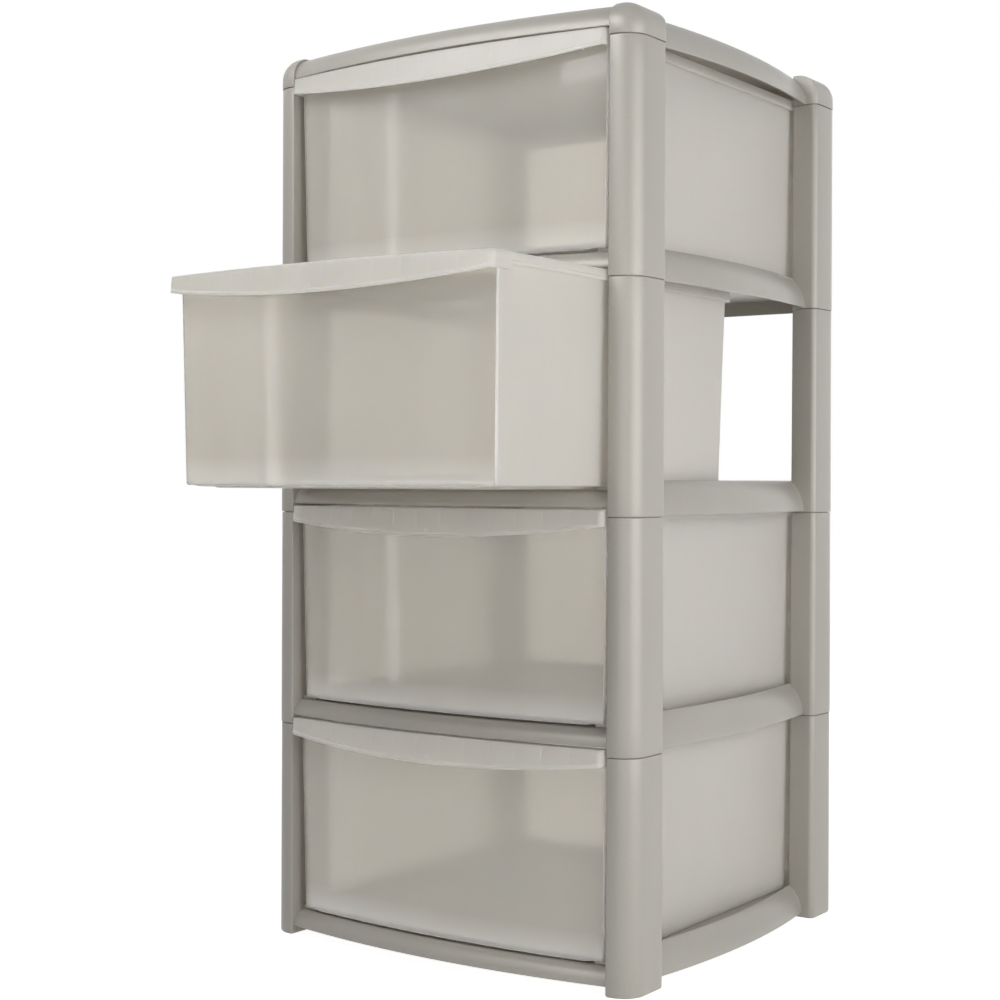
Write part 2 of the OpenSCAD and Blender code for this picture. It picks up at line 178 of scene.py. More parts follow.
def background(colour, strength):
    node = tree.nodes.new("ShaderNodeBackground")
    fill(node, {"Color": (*colour, 1), "Strength": strength})
    return node.outputs[0]


choose = tree.nodes.new("ShaderNodeMixShader")
world_out = tree.nodes.new("ShaderNodeOutputWorld")
wire(tree, (for_the_eye(tree), choose.inputs[0]),
     (background(WORLD_COLOUR, WORLD_LIGHT), choose.inputs[1]),
     (background(WHITE, 1), choose.inputs[2]), (choose.outputs[0], world_out.inputs[0]))
print("the world lights by", WORLD_LIGHT, "and looks white")

# %% Floor
FLOOR_REACH, FLOOR_GREY = 9, (0.78, 0.78, 0.775)
NEAR, NEAR_GLOW, FAR, FAR_GLOW = 0.7, 0.9, 1.7, 1.0
floor_mesh = bpy.data.meshes.new("floor")
floor_mesh.from_pydata([(FLOOR_REACH * x, FLOOR_REACH * y, 0)
                        for x, y in ((-1, -1), (1, -1), (1, 1), (-1, 1))], [], [(0, 1, 2, 3)])
floor = add_object("floor", floor_mesh)
floor_look = bpy.data.materials.new("pale_floor")
floor_look.use_nodes = True
tree = floor_look.node_tree
tree.nodes.clear()
matt = tree.nodes.new("ShaderNodeBsdfDiffuse")
fill(matt, {"Color": (*FLOOR_GREY, 1)})
glow = tree.nodes.new("ShaderNodeEmission")
away = tree.nodes.new("ShaderNodeVectorMath")
away.operation = "LENGTH"
fade = tree.nodes.new("ShaderNodeMapRange")
fill(fade, {"From Min": NEAR, "From Max": FAR, "To Min": NEAR_GLOW, "To Max": FAR_GLOW})
both = tree.nodes.new("ShaderNodeAddShader")
out = tree.nodes.new("ShaderNodeOutputMaterial")
wire(tree, (tree.nodes.new("ShaderNodeTexCoord").outputs["Object"], away.inputs[0]),
     (away.outputs["Value"], fade.inputs["Value"]),
     (maths(tree, "MULTIPLY", for_the_eye(tree), fade.outputs["Result"]),
      glow.inputs["Strength"]),
     (matt.outputs[0], both.inputs[0]), (glow.outputs[0], both.inputs[1]),
     (both.outputs[0], out.inputs[0]))
floor_mesh.materials.append(floor_look)
print("floor to", FLOOR_REACH, "m on each side")

# %% Lamps
# Each lamp: where it stands, what it looks at, its two sides in metres, its watts, and whether
# it lights everything or is only mirrored.
LAMPS = {
    "lamp_key": ((-0.2, -0.7, 1.2), (0, -0.28, 0.75), (0.7, 0.4), 3.9, "all"),
    "lamp_right": ((1.68, -0.25, 0.62), (0, -0.05, 0.5), (1.3, 1.15), 15, "all"),
    "lamp_low": ((0.9, -1.6, 0.42), (0, -0.2, 0.35), (0.8, 0.8), 3.4, "all"),
    "lamp_back": ((-0.2, 1.7, 0.8), (0, 0, 0.45), (1.6, 1.2), 7, "all"),
    "lamp_window": ((0.07, -1.5, 1.4), (0.07, 0, 1.4), (0.92, 0.7), 7, "gloss"),
    "lamp_strip": ((-1.19, -1.29, 0.5), (0, -0.15, 0.5), (0.06, 1.3), 0.45, "gloss"),
}
for name, (stands, looks_at, sides, watts, lights) in LAMPS.items():
    light = bpy.data.lights.new(name, "AREA")
    light.shape = "RECTANGLE"
    light.size, light.size_y = sides
    light.energy = watts
    lamp = add_object(name, light)
    lamp.location = stands
    lamp.rotation_euler = (Vector(looks_at) - lamp.location).to_track_quat("-Z", "Y").to_euler()
    lamp.visible_camera = False
    lamp.visible_diffuse = lamp.visible_transmission = lights == "all"
    print(name, watts, "W, lights", lights)
scene.view_settings.view_transform = "Standard"

# %% [markdown]
# ## The satin silver plastic
#
# The frame is polypropylene with a grey metallic pigment: matt, with a fine spark-eroded grain
# and a very soft gloss. A Principled shader gives the body. A fine noise drives the bump of the
# grain, a coarser one makes the flakes of pigment, and a wide one moves the colour a little, as
# the melt does where it flowed. All are laid out in Object coordinates, so they stay put.

# %% Satin silver plastic
NOISE_LOW, NOISE_HIGH = 0.3, 0.7
PLASTIC_IOR = 1.49


def shader(name, base, roughness):
    """A Principled material; returns it with its tree, its shader and Object coordinates."""
    look = bpy.data.materials.new(name)
    look.use_nodes = True
    tree = look.node_tree
    principled = tree.nodes["Principled BSDF"]
    fill(principled, {"Base Color": (*base, 1), "Roughness": roughness, "IOR": PLASTIC_IOR})
    coordinates = tree.nodes.new("ShaderNodeTexCoord").outputs["Object"]
    return look, tree, principled, coordinates


def noise(tree, coordinates, scale, detail=2.0, roughness=0.5, stretch=None):
    """Noise with so many waves per metre, drawn out where stretch is below 1."""
    if stretch:
        mapping = tree.nodes.new("ShaderNodeMapping")
        fill(mapping, {"Scale": stretch})
        wire(tree, (coordinates, mapping.inputs["Vector"]))
        coordinates = mapping.outputs[0]
    texture = tree.nodes.new("ShaderNodeTexNoise")
    fill(texture, {"Scale": scale, "Detail": detail, "Roughness": roughness})
    wire(tree, (coordinates, texture.inputs["Vector"]))
    return texture.outputs["Fac"]


def spread(tree, value, low, high):
    """Maps noise, which stays near a half, to the range from low to high."""
    ramp = tree.nodes.new("ShaderNodeMapRange")
    fill(ramp, {"From Min": NOISE_LOW, "From Max": NOISE_HIGH, "To Min": low, "To Max": high})
    wire(tree, (value, ramp.inputs["Value"]))
    return ramp.outputs["Result"]


def tint(tree, value, dark, light):
    """Mixes two colours, fixed or from another node, by a value from 0 to 1."""
    mix = tree.nodes.new("ShaderNodeMix")
    mix.data_type = "RGBA"
    wire(tree, (value, mix.inputs["Factor"]))
    for title, colour in (("A", dark), ("B", light)):
        if isinstance(colour, tuple):
            mix.inputs[title].default_value = (*colour, 1)
        else:
            wire(tree, (colour, mix.inputs[title]))
    return mix.outputs["Result"]


def around(colour, darker, lighter):
    """Two shades of a colour, for a noise to move between."""
    return tuple(darker * c for c in colour), tuple(lighter * c for c in colour)


def bump(tree, principled, height, depth, strength):
    """A relief of so many metres, which bends the light and not the mesh."""
    relief = tree.nodes.new("ShaderNodeBump")
    fill(relief, {"Distance": depth, "Strength": strength})
    wire(tree, (height, relief.inputs["Height"]),
         (relief.outputs["Normal"], principled.inputs["Normal"]))


SILVER, SPECULAR, METALLIC = (0.492, 0.47, 0.424), 0.5, 0.08
GLOSSIEST, MATTEST, FLAKE_SHARE, FLOW_SHARE = 0.36, 0.42, 0.55, 0.45
FLOW_WAVES, FLAKE_WAVES, SHEEN_WAVES, GRAIN_WAVES = 9, 850, 60, 1300
FLOW_STRETCH = (1, 1, 0.35)
GRAIN_DEPTH, GRAIN_STRENGTH = 0.00012, 0.45
silver, tree, principled, at = shader("satin_silver_plastic", SILVER, MATTEST)
fill(principled, {"Specular IOR Level": SPECULAR, "Metallic": METALLIC})
flow = spread(tree, noise(tree, at, FLOW_WAVES, 3, 0.55, FLOW_STRETCH), 0, FLOW_SHARE)
flakes = spread(tree, noise(tree, at, FLAKE_WAVES, 2, 0.7), 0, 1)
shade = maths(tree, "MULTIPLY_ADD", flakes, FLAKE_SHARE, flow)
sheen = spread(tree, noise(tree, at, SHEEN_WAVES), GLOSSIEST, MATTEST)
wire(tree, (tint(tree, shade, *around(SILVER, 0.93, 1.07)), principled.inputs["Base Color"]),
     (sheen, principled.inputs["Roughness"]))
bump(tree, principled, noise(tree, at, GRAIN_WAVES, 3, 0.6), GRAIN_DEPTH, GRAIN_STRENGTH)
print("silver plastic:", len(tree.nodes), "nodes")

# %% [markdown]
# ## The frosted drawer plastic
#
# The drawers are natural polypropylene, which is milky: light enters, scatters and comes out
# elsewhere, and a bright thing close behind it shows as a soft shade. Subsurface scattering
# with rough transmission does that. The front walls are polished, so they are clearer and
# mirror the lamps; all the rest is frosted. Along thin edge lines and on the ribs the plastic
# carries a painted highlight: each point of a skin can carry a value named edge, which paints
# the plastic paler there and adds a small painted glow. All of the plastic also has a faint
# painted glow.

# %% Frosted plastic
# FROST is the plastic's own colour. The paler colour and the glow are painted light: a painted
# highlight colour for thin edges and ribs, the strength of a painted glow, and the faint painted
# glow that the whole plastic gives off.
FROST, PAINTED_HIGHLIGHT_COLOUR = (0.945, 0.911, 0.848), (0.985, 0.982, 0.965)
PAINTED_GLOW_STRENGTH, PAINTED_BODY_GLOW = 0.12, (0.10, 0.094, 0.085)
DEPTH_OF_LIGHT = (0.010, 0.009, 0.0075)
MILK_WAVES, HAZE_WAVES, SKIN_WAVES, SKIN_DEPTH = 24, 45, 900, 0.00005
MILK_STRETCH = (1, 1, 0.15)


def milky(name, clear, scatter, roughness, grain):
    """Natural polypropylene that lets so much light straight through and scatters so much."""
    look, tree, principled, at = shader(name, FROST, roughness)
    fill(principled, {"Transmission Weight": clear, "Subsurface Weight": scatter,
                      "Subsurface Radius": DEPTH_OF_LIGHT, "Subsurface Scale": 1.0,
                      "Emission Strength": PAINTED_GLOW_STRENGTH})
    milk = spread(tree, noise(tree, at, MILK_WAVES, 4, 0.6, MILK_STRETCH), 0, 1)
    haze = spread(tree, noise(tree, at, HAZE_WAVES, 3), roughness * 0.85, roughness * 1.15)
    # The value named edge paints a highlight: the colour turns paler there, and the painted glow
    # turns from faint to near white.
    highlight_paint = tree.nodes.new("ShaderNodeAttribute")
    highlight_paint.attribute_name = "edge"
    edge = highlight_paint.outputs["Fac"]
    wire(tree, (tint(tree, edge, tint(tree, milk, *around(FROST, 0.985, 1.01)), PAINTED_HIGHLIGHT_COLOUR),
                principled.inputs["Base Color"]),
         (tint(tree, edge, PAINTED_BODY_GLOW, PAINTED_HIGHLIGHT_COLOUR), principled.inputs["Emission Color"]),
         (haze, principled.inputs["Roughness"]))
    bump(tree, principled, noise(tree, at, SKIN_WAVES), SKIN_DEPTH, grain)
    print(name, "has", len(tree.nodes), "nodes")
    return look


frost = milky("frosted_plastic", 0.5, 0.6, 0.40, 0.2)
polished = milky("polished_front_plastic", 0.7, 0.6, 0.06, 0.01)

# %% [markdown]
# ## Skins from rings
#
# Most of the pieces are closed shells: a post is a tube, a drawer is a cup with a folded rim.
# Each is made as one skin through a list of rings, all with the same number of points. Where
# two rings lie close together, the edge between them is a small radius, and a light runs along
# it as on a real moulding; on the drawers a painted highlight is added along such edges too.

# %% Skins, and pieces made of them
WELD = 0.00001


def loft(rings, caps=True):
    """Points and faces of a skin through rings of equal length, closed with a face at each end."""
    count = len(rings[0])
    points = [p for ring in rings for p in ring]
    faces = []
    for k in range(len(rings) - 1):
        a, b = k * count, (k + 1) * count
        faces += [(a + i, a + (i + 1) % count, b + (i + 1) % count, b + i) for i in range(count)]
    if caps:
        faces.append(tuple(reversed(range(count))))
        faces.append(tuple(range(len(points) - count, len(points))))
    return points, faces


def tube(rings):
    """A skin through rings whose last one meets the first again, such as a tube with a wall."""
    points, faces = loft(rings, caps=False)
    count, a = len(rings[0]), (len(rings) - 1) * len(rings[0])
    faces += [(a + i, a + (i + 1) % count, (i + 1) % count, i) for i in range(count)]
    return points, faces


def piece(name, skins, body, look, slot, *stands_for, smooth_angle=40):
    """A mesh object of one or more skins, in tower millimetres, that rides on a body.

    A skin is its points, its faces and, where it has any, how much painted highlight each
    point gets, kept as a value named edge.
    """
    shape = bmesh.new()
    has_values = any(len(skin) > 2 for skin in skins)
    edge = shape.verts.layers.float.new("edge") if has_values else None
    for points, faces, *values in skins:
        corners = [shape.verts.new(place(*p)) for p in points]
        for corner, value in zip(corners, values[0] if values else ()):
            corner[edge] = value
        for face in faces:
            shape.faces.new([corners[i] for i in face])
    bmesh.ops.remove_doubles(shape, verts=shape.verts, dist=WELD)
    bmesh.ops.recalc_face_normals(shape, faces=shape.faces)
    mesh = bpy.data.meshes.new(name)
    shape.to_mesh(mesh)
    shape.free()
    return dress(name, mesh, body, look, slot, *stands_for, smooth_angle=smooth_angle)


def dress(name, mesh, body, look, slot, *stands_for, smooth_angle=40):
    """Shades a mesh, gives it its plastic, ties it to its body and hides the measured nodes it
    stands for.
    """
    mesh.shade_smooth()
    mesh.set_sharp_from_angle(angle=math.radians(smooth_angle))
    mesh.materials.clear()
    mesh.materials.append(look)
    made = add_object(name, mesh)
    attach(made, body)
    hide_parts(*stands_for)
    return made


def arc(cx, cy, r, start, end, steps):
    """Points on an arc, angles in degrees, both ends included."""
    angles = [math.radians(start + (end - start) * i / steps) for i in range(steps + 1)]
    return [(cx + r * math.cos(a), cy + r * math.sin(a)) for a in angles]


def rounding(r, angles):
    """Steps of a rounded edge, from its start to its end, as (inset, rise) in millimetres."""
    return [(r * (1 - math.sin(a)), r * (1 - math.cos(a))) for a in map(math.radians, angles)]


def mirrored(skin):
    """The same skin on the other side of the tower."""
    return [(-x, y, z) for x, y, z in skin[0]], skin[1]


def moved(skin, back=0.0, up=0.0):
    """A skin carried back and up by so many millimetres, with its faces and values as they are."""
    return [(x, y + back, z + up) for x, y, z in skin[0]], *skin[1:]


# %% [markdown]
# ## The corner posts
#
# Each storey has four hollow posts. In section a post has a flat inner side, a wide round at
# the tower's corner and a smaller round towards the side opening. Where one post meets the
# next there is a fine dark line, because both ends are rounded off and stand a hair apart. So
# each post starts and ends a third of a millimetre inside its storey. One section is enough:
# the other corners mirror it.

# %% Posts
SMALLEST_R, FINE, COARSE = 0.6, 14, 4
SEAM_GAP, SEAM_R, BASE_R, DRAFT, BORE_BEVEL = 0.35, 0.7, 2.2, 0.45, 0.3
POST_SHARES = (0.12, 0.3, 0.5, 0.7, 0.88)
SIDES, ENDS = {"left": -1, "right": 1}, {"front": -1, "rear": 1}
CORNERS = [(side, end) for side in SIDES.values() for end in ENDS.values()]


def post_section(inset, steps=FINE):
    """Outline of the front right post, shrunk by inset, anticlockwise seen from above."""
    left, right_x = HALF_OPEN + inset, HALF_W - inset
    front, back = inset, POST_D - inset
    big = POST_R - inset
    edge = max(POST_EDGE_R - inset, SMALLEST_R)
    small = max(POST_INNER_R - inset, SMALLEST_R)
    return (arc(left + small, front + small, small, 180, 270, COARSE)
            + arc(right_x - big, front + big, big, 270, 360, steps)
            + arc(right_x - edge, back - edge, edge, 0, 90, 2 * COARSE)
            + arc(left + small, back - small, small, 90, 180, COARSE))


def at_corner(points, side, end):
    """Carries points made for the front right corner to another corner of the tower."""
    return [(x * side, y if end < 0 else DEPTH - y, z) for x, y, z in points]


def post_skin(level, side, end):
    """One hollow post: up its outside, over the rim and down its bore."""
    foot = (level - 1) * PITCH + (0 if level == 1 else SEAM_GAP)
    head = level * PITCH - SEAM_GAP
    steps = range(0, 91, 30)
    outside = [(inset, foot + rise)
               for inset, rise in rounding(BASE_R if level == 1 else SEAM_R, steps)]
    outside += [(0, foot + (head - foot) * share) for share in POST_SHARES]
    outside += [(inset, head - drop) for inset, drop in reversed(rounding(SEAM_R, steps))]
    bore = [(POST_WALL - BORE_BEVEL, head), (POST_WALL, head - BORE_BEVEL),
            (POST_WALL, foot + BORE_BEVEL), (POST_WALL - 0.1, foot)]
    rings = []
    for inset, z in outside + bore:
        lean = DRAFT * (z - foot) / (head - foot)
        section = [(x, y, z) for x, y in post_section(inset + lean)]
        rings.append(at_corner(section, side, end))
    return tube(rings)


for level in range(1, LEVELS + 1):
    for side_name, side in SIDES.items():
        for end_name, end in ENDS.items():
            node = f"post_{level}_{end_name}_{side_name}"
            post = piece(f"{node}_shell", [post_skin(level, side, end)], "frame", silver,
                         "frame_plastic", node)
print("last post:", len(post.data.vertices), "points,", len(post.data.polygons), "faces")

# %% [markdown]
# ## The bowed rails
#
# The front and side rails are hollow mouldings that bow outwards. In section a rail is a wall
# that curves from an upright foot over to the shelf, with a web down its inner side. The same
# section follows the bow from post to post, so this is work for Geometry Nodes: the mesh is
# only the section, and the tree draws the arc, carries the section along it and closes the
# ends. Radius, angles and number of steps are inputs of the tree.

# %% A Geometry Nodes tree that carries a section along an arc
def socket_ids(group):
    """The identifiers of a tree's inputs, by name: a modifier's values are set by these."""
    return {item.name: item.identifier for item in group.interface.items_tree
            if item.item_type == "SOCKET" and item.in_out == "INPUT"}


def new_tree(name, inputs):
    """An empty tree with its inputs; returns it, the outputs of its entry and its way out."""
    group = bpy.data.node_groups.new(name, "GeometryNodeTree")
    group.interface.new_socket("Geometry", in_out="INPUT", socket_type="NodeSocketGeometry")
    for title, kind in inputs:
        group.interface.new_socket(title, in_out="INPUT", socket_type=f"NodeSocket{kind}")
    group.interface.new_socket("Geometry", in_out="OUTPUT", socket_type="NodeSocketGeometry")
    entry = group.nodes.new("NodeGroupInput")
    leave = group.nodes.new("NodeGroupOutput")
    return group, entry.outputs, leave.inputs["Geometry"]


def end_tree(group, geometry, entry, leave):
    """Every tree ends in plain geometry with its material."""
    realize = group.nodes.new("GeometryNodeRealizeInstances")
    material = group.nodes.new("GeometryNodeSetMaterial")
    wire(group, (geometry, realize.inputs[0]), (realize.outputs[0], material.inputs["Geometry"]),
         (entry["Material"], material.inputs["Material"]), (material.outputs[0], leave))


def grow(mesh, group, values):
    """Runs a tree on a mesh and returns the result as a plain mesh."""
    holder = add_object("holder", mesh)
    modifier = holder.modifiers.new("grow", "NODES")
    modifier.node_group = group
    ids = socket_ids(group)
    for title, value in values.items():
        modifier[ids[title]] = value
    graph = bpy.context.evaluated_depsgraph_get()
    grown = bpy.data.meshes.new_from_object(holder.evaluated_get(graph))
    bpy.data.objects.remove(holder)
    return grown


sweep, entry, leave = new_tree("section_along_arc", [
    ("Radius", "Float"), ("Start angle", "Float"), ("Sweep angle", "Float"), ("Steps", "Int"),
    ("Material", "Material")])
path = sweep.nodes.new("GeometryNodeCurveArc")
upright = sweep.nodes.new("GeometryNodeSetCurveNormal")
upright.mode = "Z_UP"
outline = sweep.nodes.new("GeometryNodeMeshToCurve")
carry = sweep.nodes.new("GeometryNodeCurveToMesh")
carry.inputs["Fill Caps"].default_value = True
wire(sweep, (entry["Radius"], path.inputs["Radius"]),
     (entry["Start angle"], path.inputs["Start Angle"]),
     (entry["Sweep angle"], path.inputs["Sweep Angle"]),
     (entry["Steps"], path.inputs["Resolution"]),
     (path.outputs["Curve"], upright.inputs["Curve"]),
     (entry["Geometry"], outline.inputs["Mesh"]), (upright.outputs[0], carry.inputs["Curve"]),
     (outline.outputs[0], carry.inputs["Profile Curve"]))
end_tree(sweep, carry.outputs[0], entry, leave)
print("tree:", sweep.name, "inputs", list(socket_ids(sweep)))

# %% The bows and the section of a rail
RAIL_W, RAIL_WALL, FRONT_FOOT, FRONT_HEAD, SIDE_HEAD = 14.0, 2.4, 8.0, 22.5, 31.0
FRONT_BOW, SIDE_BOW, RAIL_INSET, INTO_POST = 17.0, 12.0, 12.0, 2.0
NOSE, NOSE_SHARE, ROUND_TOP, ROUND_FOOT = 0.8, 0.6, (0.12, 0.18), (0.25, 0.06)
OUTER_STEPS, INNER_STEPS, FRONT_CUTS, SIDE_CUTS, TO_FRONT, TO_RIGHT = 14, 10, 65, 49, 270, 0
FRONT_END_Y = POST_WALL + FIT
FRONT_R = (HALF_OPEN ** 2 + FRONT_BOW ** 2) / (2 * FRONT_BOW)
FRONT_CY = FRONT_END_Y - FRONT_BOW + FRONT_R
SIDE_R = (BAY_HALF ** 2 + SIDE_BOW ** 2) / (2 * SIDE_BOW)
SIDE_CX = HALF_W - RAIL_INSET + SIDE_BOW - SIDE_R
DECK_Z, DECK_T, TOP_H = 13.5, 2.5, 27.0
REAR_Y = DEPTH - RAIL_INSET - RAIL_WALL


def rail_section(foot, head, web_foot):
    """Closed outline of a rail as (distance from the edge of the bow, height)."""
    r = (RAIL_W ** 2 + (head - foot) ** 2) / (2 * RAIL_W)
    full = math.degrees(math.asin((head - foot) / r))
    nose = math.degrees(NOSE / r)
    outer = arc(-r, foot, r, nose * NOSE_SHARE, full - nose, OUTER_STEPS)
    inner_r = r - RAIL_WALL
    web = -RAIL_W + RAIL_WALL
    inner_stop = math.degrees(math.acos(min((r + web) / inner_r, 1)))
    inner = arc(-r, foot, inner_r, min(inner_stop, full), nose * NOSE_SHARE, INNER_STEPS)
    (top_x, top_z), (foot_x, foot_z) = ROUND_TOP, ROUND_FOOT
    outer_x, inner_x = outer[0][0], inner[-1][0]
    return (outer + [(-RAIL_W + top_x, head - top_z), (-RAIL_W, head - NOSE),
                     (-RAIL_W, web_foot), (web, web_foot)] + inner
            + [(inner_x + foot_x, foot + foot_z), ((outer_x + inner_x) / 2, foot),
               (outer_x - foot_x, foot + foot_z)])


def swept(section, radius, centre, heading, half_angle, steps):
    """A section carried along a bow: points in tower millimetres, and faces."""
    mesh = bpy.data.meshes.new("section")
    count = len(section)
    mesh.from_pydata([(x, -z, 0) for x, z in section],
                     [(i, (i + 1) % count) for i in range(count)], [])
    made = grow(mesh, sweep, {
        "Radius": radius, "Start angle": math.radians(heading - half_angle),
        "Sweep angle": math.radians(2 * half_angle), "Steps": steps, "Material": silver})
    points = [(v.co.x + centre[0], v.co.y + centre[1], v.co.z) for v in made.vertices]
    faces = [tuple(face.vertices) for face in made.polygons]
    bpy.data.meshes.remove(mesh)
    bpy.data.meshes.remove(made)
    return points, faces


def front_rail(foot, head, web_foot):
    reach = math.degrees(math.asin((HALF_OPEN + INTO_POST) / FRONT_R))
    return swept(rail_section(foot, head, web_foot), FRONT_R, (0, FRONT_CY), TO_FRONT, reach,
                 FRONT_CUTS)


def side_rails(foot, head, web_foot):
    reach = math.degrees(math.asin((BAY_HALF + INTO_POST) / SIDE_R))
    right_rail = swept(rail_section(foot, head, web_foot), SIDE_R, (SIDE_CX, BAY_MID), TO_RIGHT,
                       reach, SIDE_CUTS)
    return [right_rail, mirrored(right_rail)]


for title, (points, faces) in (("front", front_rail(FRONT_FOOT, FRONT_HEAD, DECK_Z)),
                               ("side", side_rails(0, SIDE_HEAD, DECK_Z)[0])):
    print(title, "rail spans", [(round(min(axis), 1), round(max(axis), 1))
                                for axis in zip(*points)])

# %% [markdown]
# ## Shelf frames
#
# A shelf frame is one moulding: two bowed side rails, a bowed front rail, a straight rear rail,
# a floor between them and a ledge on each side for the drawer above. Plugs at its corners go up
# into its own posts and down into the posts below. The floor and the ledges are plates cut to
# the inside of the rails, and a small bevel runs round every edge.

# %% Floor, ledges, rear rail and plugs
OVERLAP, HAIR = 0.4, 0.05
PLUG_INSET, PLUG_WALL, PLUG_UP, PLUG_DOWN = POST_WALL + FIT, 2.4, 40.0, 14.0
PLUG_LEAD, PLUG_TAPER = 1.0, 0.8
LEDGE_W, LEDGE_Z, RISER_Y = 18.0, 25.2, 18.0
BASE_SIDE_FOOT, SIDE_FOOT, REAR_FOOT, REAR_ROOT = 5, 1, 0.3, 3
UNDER_RAIL = RAIL_W - 0.6
PLAN_CUTS, BAY_CUTS, SOFT_ANGLE, SHELF_EDGE = 24, 16, 50, 0.35


def between(low, high, steps):
    return [low + (high - low) * i / steps for i in range(steps + 1)]


def inside_outline(depth, gap, low_x=None):
    """Outline in plan of what lies between the rails and clear of the posts."""
    reach_x = HALF_OPEN - gap
    low_y, high_y = POST_D + gap, DEPTH - POST_D - gap
    front = [(x, FRONT_CY - math.sqrt((FRONT_R - depth) ** 2 - x * x))
             for x in between(-reach_x if low_x is None else low_x, reach_x, PLAN_CUTS)]
    bay = [(SIDE_CX + math.sqrt((SIDE_R - depth) ** 2 - (y - BAY_MID) ** 2), y)
           for y in between(low_y, high_y, BAY_CUTS)]
    rear = REAR_Y + OVERLAP
    right_side = [(reach_x, low_y)] + bay + [(reach_x, high_y), (reach_x, rear)]
    if low_x is not None:
        return front + right_side + [(low_x, rear)]
    return front + right_side + [(-x, y) for x, y in reversed(right_side)]


def plate(outline, foot, head):
    return loft([[(x, y, z) for x, y in outline] for z in (foot, head)])


def box(low, high):
    (x, y, z), (far_x, far_y, top) = low, high
    return plate([(x, y), (far_x, y), (far_x, far_y), (x, far_y)], z, top)


def rear_rail(reach, head):
    return box((-reach, REAR_Y, REAR_FOOT), (reach, REAR_Y + RAIL_WALL, head))


def plug(side, end, foot, head):
    """A hollow plug for a post, with a lead-in at each end."""
    stages = [(PLUG_TAPER, foot), (0, foot + PLUG_LEAD), (0, head - PLUG_LEAD),
              (PLUG_TAPER, head), (PLUG_WALL, head), (PLUG_WALL, foot)]
    return tube([at_corner([(x, y, z) for x, y in post_section(PLUG_INSET + more)], side, end)
                 for more, z in stages])


def shelf_skins(side_foot, plug_foot):
    """All the skins of a shelf frame, with its side rails and its plugs down to such heights."""
    ledge_x = HALF_OPEN - LEDGE_W
    ledge = plate(inside_outline(UNDER_RAIL, FIT, ledge_x), LEDGE_Z - DECK_T, LEDGE_Z)
    riser = box((ledge_x, RISER_Y, DECK_Z + 1),
                (ledge_x + DECK_T, REAR_Y + OVERLAP, LEDGE_Z - HAIR))
    return [front_rail(FRONT_FOOT, FRONT_HEAD, DECK_Z),
            *side_rails(side_foot, SIDE_HEAD, DECK_Z),
            plate(inside_outline(UNDER_RAIL, FIT), DECK_Z, DECK_Z + DECK_T),
            ledge, mirrored(ledge), riser, mirrored(riser),
            rear_rail(HALF_OPEN + REAR_ROOT, SIDE_HEAD),
            *(plug(side, end, plug_foot, PLUG_UP) for side, end in CORNERS)]


def soften(made, width):
    """Rounds every sharp edge by a small bevel of so many millimetres."""
    bevel = made.modifiers.new("soft_edges", "BEVEL")
    bevel.width = width * MM
    bevel.segments = 2
    bevel.limit_method = "ANGLE"
    bevel.angle_limit = math.radians(SOFT_ANGLE)
    bevel.harden_normals = True
    return made


for level, node in enumerate(("base_frame", "lower_shelf", "middle_shelf", "upper_shelf")):
    skins = (shelf_skins(SIDE_FOOT, -PLUG_DOWN) if level
             else shelf_skins(BASE_SIDE_FOOT, HAIR))
    raised = [moved(skin, up=level * PITCH) for skin in skins]
    made = soften(piece(f"{node}_moulding", raised, "frame", silver, "frame_plastic", node),
                  SHELF_EDGE)
print("one shelf frame:", len(made.data.polygons), "faces before its bevel")

# %% [markdown]
# ## The top panel
#
# The top panel has the same bowed rails, deeper, as its edges. Its plate has a shallow tray, so
# that nothing rolls off, and on each corner sits a cap that continues the post and rounds over
# in a quarter dome. The plate is one skin again: two outlines with the same number of points,
# found by looking outwards from the middle in the same directions.

# %% Top panel
TRAY_BORDER, TRAY_DROP, TRAY_R, TRAY_STEPS = 24.0, 1.2, 6.0, 6
TRAY_EDGE = ((-0.5, 0), (-0.1, 0.12), (0.3, TRAY_DROP - 0.3), (0.9, TRAY_DROP))
UNDER_TOP_RAIL, PLATE_OVERLAP = RAIL_W - 0.3, 0.2
CAP_RISE, DOME, DOME_ANGLES, CAP_SOFT, CAP_END = 2.5, 21.0, range(8, 85, 7), 0.9, 20.6
CAP_FOOT, CAP_STEPS = ((0.55, 0), (0.2, 0.18), (0, 0.6)), 18
TOP_SIDE_FOOT, CAP_PLUG_HEAD, TOP_EDGE = 0.4, 6, 0.3
PARALLEL, NEARLY = 1e-12, 1e-9


def seen_from_middle(outline, directions, centre):
    """Where rays from the centre meet an outline, one point for each direction in degrees."""
    found = []
    around_it = [(x - centre[0], y - centre[1]) for x, y in outline + outline[:1]]
    for degrees in directions:
        dx, dy = math.cos(math.radians(degrees)), math.sin(math.radians(degrees))
        best = 0
        for (ax, ay), (bx, by) in zip(around_it, around_it[1:]):
            cross = dx * (by - ay) - dy * (bx - ax)
            if abs(cross) < PARALLEL:
                continue
            along = (ax * (by - ay) - ay * (bx - ax)) / cross
            share = (ax * dy - ay * dx) / cross
            if along > 0 and -NEARLY <= share <= 1 + NEARLY:
                best = max(best, along)
        found.append((centre[0] + dx * best, centre[1] + dy * best))
    return found


